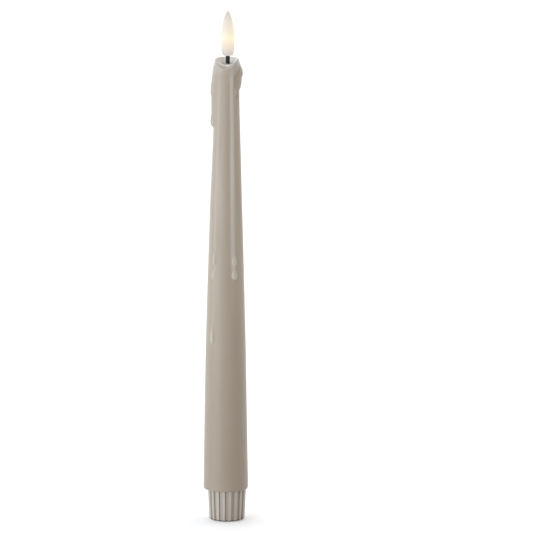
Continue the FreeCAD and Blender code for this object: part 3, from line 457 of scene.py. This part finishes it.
def turned_piece(name, body, profile, columns, material, bend=None, loop=False):
    """A piece turned about Z from (radius, height) pairs: a closed loop, or a profile capped at its ends."""
    angles = np.linspace(0, 2 * math.pi, columns, endpoint=False)
    rings = []
    for radius, z in profile:
        radii = np.full(columns, max(radius, 0.0))
        heights = np.full(columns, z)
        if bend:
            radii, heights = bend(angles, radii, heights)
        rings.append(np.column_stack([radii * np.sin(angles), -radii * np.cos(angles), heights]))
    points = np.vstack(rings)
    faces = ring_faces(len(rings), columns, closed=loop)
    if not loop:
        last = len(points) - columns
        faces += [tuple(range(columns - 1, -1, -1)), tuple(range(last, last + columns))]
    return new_piece(name, body, points, faces, material)


def make_flame(material):
    """The frosted flame tip, hollow round the diode, with its seat on the wick."""
    low = bottom_of("flame_diffuser")
    outer = [(radius, low + height) for radius, height in curve_through(FLAME, 3)]
    top = low + FLAME_TIP
    seat = top_of("wick_sleeve")
    dome = low + CHAMBER_TOP
    inner = [(0.04, dome), (1.10, dome - 0.35), (1.75, dome - 1.5), (1.95, dome - 3.0), (1.95, seat)]
    profile = [*inner, (1.05, seat), *outer, (0.03, top)]
    piece = turned_piece("flame_tip", "shell", profile, 72, material)
    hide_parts("flame_diffuser")


def make_wick(material):
    """The wick sleeve's braid: two sets of strands that cross, from the plug's top up to the sleeve's end."""
    low, top = bottom_of("wick_sleeve"), top_of("wick_sleeve")
    plug_top = top_of("wick_plug")

    def braid(angles, radii, heights):
        turn = 2 * math.pi * heights / BRAID_PITCH
        right = np.cos(BRAID_STRANDS * angles + BRAID_STRANDS * turn / 2)
        left = np.cos(BRAID_STRANDS * angles - BRAID_STRANDS * turn / 2)
        show = smoothstep(plug_top, plug_top + 0.8, heights)
        outside = radii > 0.8
        raised = BRAID_RELIEF * np.maximum(right, left) * show
        return np.where(outside, radii + raised, radii), heights

    outer = [(SLEEVE_RADIUS, z) for z in np.arange(low, top, 0.12)]
    profile = [(SLEEVE_BORE, top), (SLEEVE_BORE, low), *outer, (SLEEVE_RADIUS, top)]
    piece = turned_piece("wick_braid", "shell", profile, 96, material, braid, loop=True)
    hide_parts("wick_sleeve")


# ---------------------------------------------------------------- materials


FINE_GRAIN = 3200  # features per metre
FINE_BUMP = 0.0001  # metres


class Shader:
    """A node material with a Principled shader, and short ways to add texture nodes to it."""

    def __init__(self, name, base, roughness, **values):
        self.material = bpy.data.materials.new(name)
        self.material.use_nodes = True
        self.tree = self.material.node_tree
        self.bsdf = self.tree.nodes["Principled BSDF"]
        self.bsdf.inputs["Base Color"].default_value = (*base, 1.0)
        self.bsdf.inputs["Roughness"].default_value = roughness
        for socket, value in values.items():
            self.bsdf.inputs[socket.replace("_", " ")].default_value = value
        self.base = base
        self.coords = self.tree.nodes.new("ShaderNodeTexCoord").outputs["Object"]

    def node(self, kind, **settings):
        made = self.tree.nodes.new(f"ShaderNode{kind}")
        for key, value in settings.items():
            setattr(made, key, value)
        return made

    def link(self, output, target):
        self.tree.links.new(output, target)

    def mapped(self, scale):
        """Object coordinates, stretched."""
        mapping = self.node("Mapping")
        mapping.inputs["Scale"].default_value = scale
        self.link(self.coords, mapping.inputs["Vector"])
        return mapping.outputs["Vector"]

    def noise(self, scale, detail=3.0, roughness=0.55, stretch=(1, 1, 1), distortion=0.0):
        """A noise value. scale counts features per metre."""
        texture = self.node("TexNoise")
        texture.inputs["Scale"].default_value = scale
        texture.inputs["Detail"].default_value = detail
        texture.inputs["Roughness"].default_value = roughness
        texture.inputs["Distortion"].default_value = distortion
        self.link(self.mapped(stretch), texture.inputs["Vector"])
        return texture.outputs["Fac"]

    def ramp(self, value, stops):
        """Colours along a value, as (place, colour) stops."""
        ramp = self.node("ValToRGB")
        elements = ramp.color_ramp.elements
        while len(elements) < len(stops):
            elements.new(0.5)
        for element, (place, colour) in zip(elements, stops):
            element.position = place
            element.color = (*colour, 1.0)
        self.link(value, ramp.inputs["Fac"])
        return ramp.outputs["Color"]

    def spread(self, value, low, high, to_low, to_high):
        """A value moved from one range to another."""
        scale = self.node("MapRange")
        for socket, number in zip(("From Min", "From Max", "To Min", "To Max"), (low, high, to_low, to_high)):
            scale.inputs[socket].default_value = number
        self.link(value, scale.inputs["Value"])
        return scale.outputs["Result"]

    def mottled(self, scale, amount, **noise):
        """The base colour, lighter and darker along a noise."""
        low = tuple(channel * (1 - amount) for channel in self.base)
        high = tuple(min(1.0, channel * (1 + amount)) for channel in self.base)
        return self.ramp(self.noise(scale, **noise), [(0.3, low), (0.7, high)])

    def mottle(self, scale, amount, **noise):
        """Lightens and darkens the base colour along a noise."""
        self.link(self.mottled(scale, amount, **noise), self.bsdf.inputs["Base Color"])
        return self

    def painted(self, name):
        """A share that the piece's vertices hold."""
        return self.node("Attribute", attribute_name=name).outputs["Fac"]

    def along(self, axis):
        """A point's place along X, Y or Z from the middle of the candle's foot, in metres."""
        split = self.node("SeparateXYZ")
        self.link(self.coords, split.inputs[0])
        return split.outputs[axis]

    def height(self):
        return self.along("Z")

    def mix(self, share, first, second, blend="MIX"):
        """A colour between two others, or multiplied, of which the second is plain."""
        mixed = self.node("Mix", data_type="RGBA", blend_type=blend)
        self.link(share, mixed.inputs["Factor"])
        self.link(first, mixed.inputs["A"])
        mixed.inputs["B"].default_value = (*second, 1.0)
        return mixed.outputs["Result"]

    def rough(self, scale, low, high, **noise):
        """Varies the roughness along a noise."""
        value = self.spread(self.noise(scale, **noise), 0.3, 0.7, low, high)
        self.link(value, self.bsdf.inputs["Roughness"])
        return self

    def bump(self, layers, distance):
        """Bump from (value, strength) layers, chained."""
        normal = None
        for value, strength in layers:
            bump = self.node("Bump")
            bump.inputs["Strength"].default_value = strength
            bump.inputs["Distance"].default_value = distance
            self.link(value, bump.inputs["Height"])
            if normal is not None:
                self.link(normal, bump.inputs["Normal"])
            normal = bump.outputs["Normal"]
        self.link(normal, self.bsdf.inputs["Normal"])
        return self


WAX = (0.324, 0.274, 0.218)
LOW_WAX = (0.286, 0.236, 0.182)
RIM_PAINTED_SHEEN = (0.370, 0.342, 0.304)
DRIP_WAX_AND_HIGHLIGHT = (0.396, 0.364, 0.313)
BOWL_PAINTED_LIGHT = (0.68, 0.66, 0.62)


def wax_material():
    """Satin wax, deeper near the foot; paler in the runs, partly a paler wax and partly painted highlight;
    and painted paler and greyer on the thin rim and in the bowl, a painted sheen and painted light.
    """
    shader = Shader(
        "wax", WAX, 0.42, Specular_IOR_Level=0.30, Coat_Weight=0.04, Coat_Roughness=0.30,
        Subsurface_Weight=0.30, Subsurface_Scale=0.0025,
    )
    shader.bsdf.inputs["Subsurface Radius"].default_value = (1.0, 0.66, 0.42)
    body = shader.mottled(60, 0.03, detail=4, stretch=(1, 1, 0.35))
    # painted sheen: the coat's top few mm, over the thin rim, are painted paler and greyer
    rim = shader.spread(shader.height(), 0.2235, 0.2300, 0.0, 1.0)
    depth = shader.spread(shader.height(), 0.030, 0.150, 1.0, 0.0)
    colour = shader.mix(rim, shader.mix(depth, body, LOW_WAX), RIM_PAINTED_SHEEN)
    # runs and beads paler: partly a paler wax, partly painted highlight
    colour = shader.mix(shader.painted("drip"), colour, DRIP_WAX_AND_HIGHLIGHT)
    # painted light in the bowl and over the rim's crest
    colour = shader.mix(shader.painted("bowl"), colour, BOWL_PAINTED_LIGHT)
    shader.link(colour, shader.bsdf.inputs["Base Color"])
    shader.rough(240, 0.36, 0.50, detail=3, stretch=(1, 1, 0.3))
    fine = shader.noise(2600, detail=2)
    streak = shader.noise(420, detail=3, stretch=(1, 1, 0.12))
    return shader.bump([(streak, 0.10), (fine, 0.05)], 0.0002).material


def plastic(name, base, roughness, amount=0.03, **values):
    """Moulded plastic with a fine grain."""
    shader = Shader(name, base, roughness, **values)
    shader.mottle(260, amount, detail=3)
    shader.rough(700, max(0.05, roughness - 0.06), roughness + 0.06)
    return shader.bump([(shader.noise(FINE_GRAIN, detail=2), 0.06)], FINE_BUMP).material


def foot_material():
    """Satin plastic in the wax's colour, with painted shade deep in the flutes and a painted contact shadow
    along its lowest edge.
    """
    base, flute_shade, edge = (0.388, 0.343, 0.287), (0.215, 0.185, 0.148), (0.08, 0.07, 0.06)
    shader = Shader("foot_plastic", base, 0.36)
    # painted shade: ambient occlusion darkens the colour deep in the flutes
    shade = shader.node("AmbientOcclusion", samples=8, only_local=True)
    shade.inputs["Distance"].default_value = 0.0016
    open_share = shader.spread(shade.outputs["AO"], 0.45, 1.0, 0.0, 1.0)
    flutes = shader.ramp(open_share, [(0.0, flute_shade), (1.0, base)])
    grain = shader.spread(shader.noise(260, detail=3), 0.3, 0.7, 0.0, 0.08)
    colour = shader.mix(grain, flutes, (0.45, 0.41, 0.36))
    # painted contact shadow: the lowest 0.3 to 0.7 mm of the foot is darkened towards the edge colour
    contact_shadow_share = shader.spread(shader.height(), 0.0003, 0.0007, 1.0, 0.0)
    shader.link(shader.mix(contact_shadow_share, colour, edge), shader.bsdf.inputs["Base Color"])
    shader.rough(700, 0.30, 0.42)
    return shader.bump([(shader.noise(FINE_GRAIN, detail=2), 0.06)], FINE_BUMP).material


def metal(name, base, roughness):
    """Drawn or pressed metal with marks across its length."""
    stretch = (1, 1, 12)
    shader = Shader(name, base, roughness, Metallic=1.0)
    shader.mottle(900, 0.05, detail=4, stretch=stretch)
    shader.rough(900, max(0.05, roughness - 0.08), roughness + 0.10, stretch=stretch)
    return shader.bump([(shader.noise(1800, detail=3, stretch=stretch), 0.05)], FINE_BUMP).material


def flame_material():
    """Milky diffuser, lit from within: brightest round the diode, cooler at its ends, warmer towards +X. Over
    a near-black base, the glow also stands in for the light the diffuser reflects, with painted shade on its
    heel where the wax bowl shades it.
    """
    low, high = bottom_of("flame_diffuser"), top_of("flame_diffuser")
    shader = Shader(
        "flame", (0.085, 0.084, 0.083), 0.60, Subsurface_Weight=1.0, Subsurface_Scale=0.006,
        Specular_IOR_Level=0.15,
    )
    shader.bsdf.inputs["Subsurface Radius"].default_value = (1.0, 0.9, 0.8)
    share = shader.spread(shader.height(), low * MM, high * MM, 0.0, 1.0)
    # painted light: the glow also stands in for reflected light, and its lowest stops are a painted shade
    # from the bowl
    glow = shader.ramp(share, [
        (0.00, (0.53, 0.487, 0.465)),
        (0.12, (0.66, 0.59, 0.55)),
        (0.27, (0.82, 0.735, 0.62)),
        (0.40, (0.86, 0.85, 0.665)),
        (0.54, (0.84, 0.76, 0.645)),
        (0.78, (0.72, 0.655, 0.61)),
        (0.95, (0.53, 0.515, 0.505)),
        (1.00, (0.46, 0.455, 0.45)),
    ])
    half_width = 0.0034
    side = shader.spread(shader.along("X"), -half_width, half_width, 0.0, 1.0)
    glow = shader.mix(side, glow, (1.0, 0.965, 0.84), "MULTIPLY")
    shader.link(glow, shader.bsdf.inputs["Emission Color"])
    shader.bsdf.inputs["Emission Strength"].default_value = 1.0
    shader.mottle(320, 0.02, detail=2)
    return shader.bump([(shader.noise(1500, detail=2), 0.03)], FINE_BUMP).material


def board_material():
    """Green solder mask over faint tracks."""
    shader = Shader("board", (0.012, 0.10, 0.035), 0.35)
    tracks = shader.noise(700, detail=1, distortion=1.5)
    colour = shader.ramp(tracks, [(0.46, (0.010, 0.075, 0.028)), (0.50, (0.020, 0.14, 0.05))])
    shader.link(colour, shader.bsdf.inputs["Base Color"])
    return shader.bump([(tracks, 0.1)], FINE_BUMP).material


def jacket_material():
    """A shrink jacket: dark blue, then one narrow silver band, then copper orange up to its top end."""
    shader = Shader("jacket", (0.02, 0.05, 0.16), 0.22, Coat_Weight=0.4, Coat_Roughness=0.12)
    pitch = (top_of("battery_upper_jacket") - top_of("battery_lower_jacket")) * MM
    wrapped = shader.node("Math", operation="MODULO")
    wrapped.inputs[1].default_value = pitch
    lifted = shader.node("Math", operation="SUBTRACT")
    lifted.inputs[1].default_value = bottom_of("battery_lower_jacket") * MM
    shader.link(shader.height(), lifted.inputs[0])
    shader.link(lifted.outputs[0], wrapped.inputs[0])
    share = shader.spread(wrapped.outputs[0], 0.0, pitch, 0.0, 1.0)
    colour = shader.ramp(share, [
        (0.0, (0.02, 0.045, 0.15)),
        (0.66, (0.03, 0.06, 0.19)),
        (0.67, (0.42, 0.42, 0.43)),
        (0.69, (0.42, 0.42, 0.43)),
        (0.70, (0.50, 0.17, 0.04)),
    ])
    shader.link(colour, shader.bsdf.inputs["Base Color"])
    return shader.bump([(shader.noise(900, detail=2, stretch=(1, 1, 0.2)), 0.05)], FINE_BUMP).material


def dress_nodes():
    """Gives each CAD node that stays its own procedural finish."""
    looks = {
        foot_material(): ["foot_cup"],
        plastic("liner_plastic", (0.66, 0.60, 0.50), 0.42): ["liner_tube", "wick_plug"],
        plastic("cradle_plastic", (0.46, 0.445, 0.41), 0.40): ["battery_cradle"],
        plastic("black_plastic", (0.02, 0.02, 0.022), 0.38): ["switch_housing", "contact_block"],
        plastic("slider_plastic", (0.015, 0.015, 0.017), 0.34): ["switch_slider"],
        plastic("chip_epoxy", (0.015, 0.015, 0.016), 0.5): ["timer_chip", "chip_resistors"],
        plastic("capacitor_body", (0.32, 0.21, 0.11), 0.35): ["bypass_capacitor"],
        plastic("lead_red", (0.42, 0.02, 0.015), 0.35): ["led_lead_positive"],
        plastic("lead_black", (0.02, 0.02, 0.02), 0.35): ["led_lead_negative"],
        plastic("led_epoxy", (0.85, 0.76, 0.50), 0.12, Transmission_Weight=0.5): ["led_emitter"],
        metal("brass", (0.72, 0.52, 0.24), 0.26): [
            "positive_contact", "return_strip", "centre_contact", "crown_contact",
        ],
        metal("gold_flash", (0.83, 0.58, 0.20), 0.2): ["slip_ring"],
        metal("tin", (0.62, 0.62, 0.60), 0.3): ["switch_pins"],
        metal("screw_steel", (0.55, 0.55, 0.56), 0.3): ["board_screws"],
        metal("spring_steel", (0.60, 0.60, 0.61), 0.24): ["battery_spring"],
        metal("can_steel", (0.58, 0.58, 0.60), 0.24): ["battery_lower_can", "battery_upper_can"],
        jacket_material(): ["battery_lower_jacket", "battery_upper_jacket"],
        board_material(): ["control_board"],
    }
    for material, names in looks.items():
        for name in names:
            slots = NODES[name].material_slots
            if not slots:
                NODES[name].data.materials.append(material)
            for slot in slots:
                slot.material = material
    shown = {name for names in looks.values() for name in names}
    stood_for = {"wax_coat", "wick_sleeve", "flame_diffuser"}
    assert shown | stood_for == set(NODES), set(NODES) - shown


# ---------------------------------------------------------------- stage, lights and camera

FLOOR_REACH = 6.0
KEY_STRENGTH = 3.05
KEY_ANGLE = math.radians(24)
KEY_COLOUR = (0.92, 0.98, 1.07)
CAMERA_PLACE = (0.0, -1.83, 0.42)
CAMERA_TARGET = (0.0, 0.0, 0.12786)
CAMERA_ROLL = math.radians(0.11)
LENS = 252.0
SHIFT = 0.0734


def aim(thing, target):
    """Turns a light or camera so that its own -Z looks at the target."""
    direction = Vector(target) - thing.location
    thing.rotation_mode = "QUATERNION"
    thing.rotation_quaternion = direction.to_track_quat("-Z", "Y")


def area_light(name, place, target, size, power, colour):
    """A rectangular light that faces a target."""
    data = bpy.data.lights.new(name, "AREA")
    data.shape = "RECTANGLE"
    data.size, data.size_y = size
    data.energy = power
    data.color = colour
    light = bpy.data.objects.new(name, data)
    bpy.context.scene.collection.objects.link(light)
    light.location = place
    aim(light, target)


def make_stage():
    """A plain pale floor and a soft white studio, brighter on the left, with a key light on that side."""
    mesh = bpy.data.meshes.new("floor")
    corners = [(-FLOOR_REACH, -FLOOR_REACH, 0), (FLOOR_REACH, -FLOOR_REACH, 0)]
    corners += [(FLOOR_REACH, FLOOR_REACH, 0), (-FLOOR_REACH, FLOOR_REACH, 0)]
    mesh.from_pydata(corners, [], [(0, 1, 2, 3)])
    floor = bpy.data.objects.new("floor", mesh)
    bpy.context.scene.collection.objects.link(floor)
    shader = Shader("floor", (0.93, 0.93, 0.93), 0.75, Specular_IOR_Level=0.2)
    mesh.materials.append(shader.mottle(3, 0.003).material)
    make_world()
    key = bpy.data.lights.new("key_left", "SUN")
    key.energy, key.angle, key.color = KEY_STRENGTH, KEY_ANGLE, KEY_COLOUR
    sun = bpy.data.objects.new("key_left", key)
    bpy.context.scene.collection.objects.link(sun)
    sun.location = (-0.95, -0.80, 0.13)
    aim(sun, (0, 0, 0.13))
    area_light("rim_right", (0.80, 0.45, 0.42), (0, 0, 0.22), (0.15, 0.5), 1.5, (0.84, 0.94, 1.08))
    bpy.context.scene.view_settings.view_transform = "Standard"


def make_world():
    """White all round, brighter behind; cool and brighter towards -X, warm and dimmer towards +X."""
    world = bpy.data.worlds.new("studio")
    world.use_nodes = True
    tree = world.node_tree
    background = tree.nodes["Background"].inputs
    split = tree.nodes.new("ShaderNodeSeparateXYZ")
    tree.links.new(tree.nodes.new("ShaderNodeTexCoord").outputs["Generated"], split.inputs[0])

    def along(axis, low, high):
        """A value that runs from low at the axis's far negative end to high at its positive end."""
        span = tree.nodes.new("ShaderNodeMapRange")
        for socket, number in zip(("From Min", "From Max", "To Min", "To Max"), (-1.0, 1.0, low, high)):
            span.inputs[socket].default_value = number
        tree.links.new(split.outputs[axis], span.inputs["Value"])
        return span.outputs["Result"]

    strength = tree.nodes.new("ShaderNodeMath")
    tree.links.new(along("X", 1.44, 0.84), strength.inputs[0])
    tree.links.new(along("Y", -0.62, 0.62), strength.inputs[1])
    tree.links.new(strength.outputs[0], background["Strength"])
    tint = tree.nodes.new("ShaderNodeMix")
    tint.data_type = "RGBA"
    tree.links.new(along("X", 0.0, 1.0), tint.inputs["Factor"])
    tint.inputs["A"].default_value = (0.92, 1.0, 1.12, 1.0)
    tint.inputs["B"].default_value = (1.08, 1.0, 0.88, 1.0)
    tree.links.new(tint.outputs["Result"], background["Color"])
    bpy.context.scene.world = world


def make_camera():
    """A long lens straight in front of the candle, a little above it, that looks down by nine degrees."""
    data = bpy.data.cameras.new("camera")
    camera = bpy.data.objects.new("camera", data)
    bpy.context.scene.collection.objects.link(camera)
    data.sensor_width = 36.0
    data.lens = LENS
    data.shift_x = SHIFT
    camera.location = CAMERA_PLACE
    aim(camera, CAMERA_TARGET)
    camera.rotation_quaternion = camera.rotation_quaternion @ Quaternion((0, 0, 1), CAMERA_ROLL)
    data.clip_start, data.clip_end = 0.05, 50.0
    bpy.context.scene.camera = camera


make_camera()
make_stage()
make_wax(wax_material())
make_flame(flame_material())
make_wick(plastic("wick_braid", (0.016, 0.015, 0.013), 0.75, amount=0.2, Specular_IOR_Level=0.3))
dress_nodes()
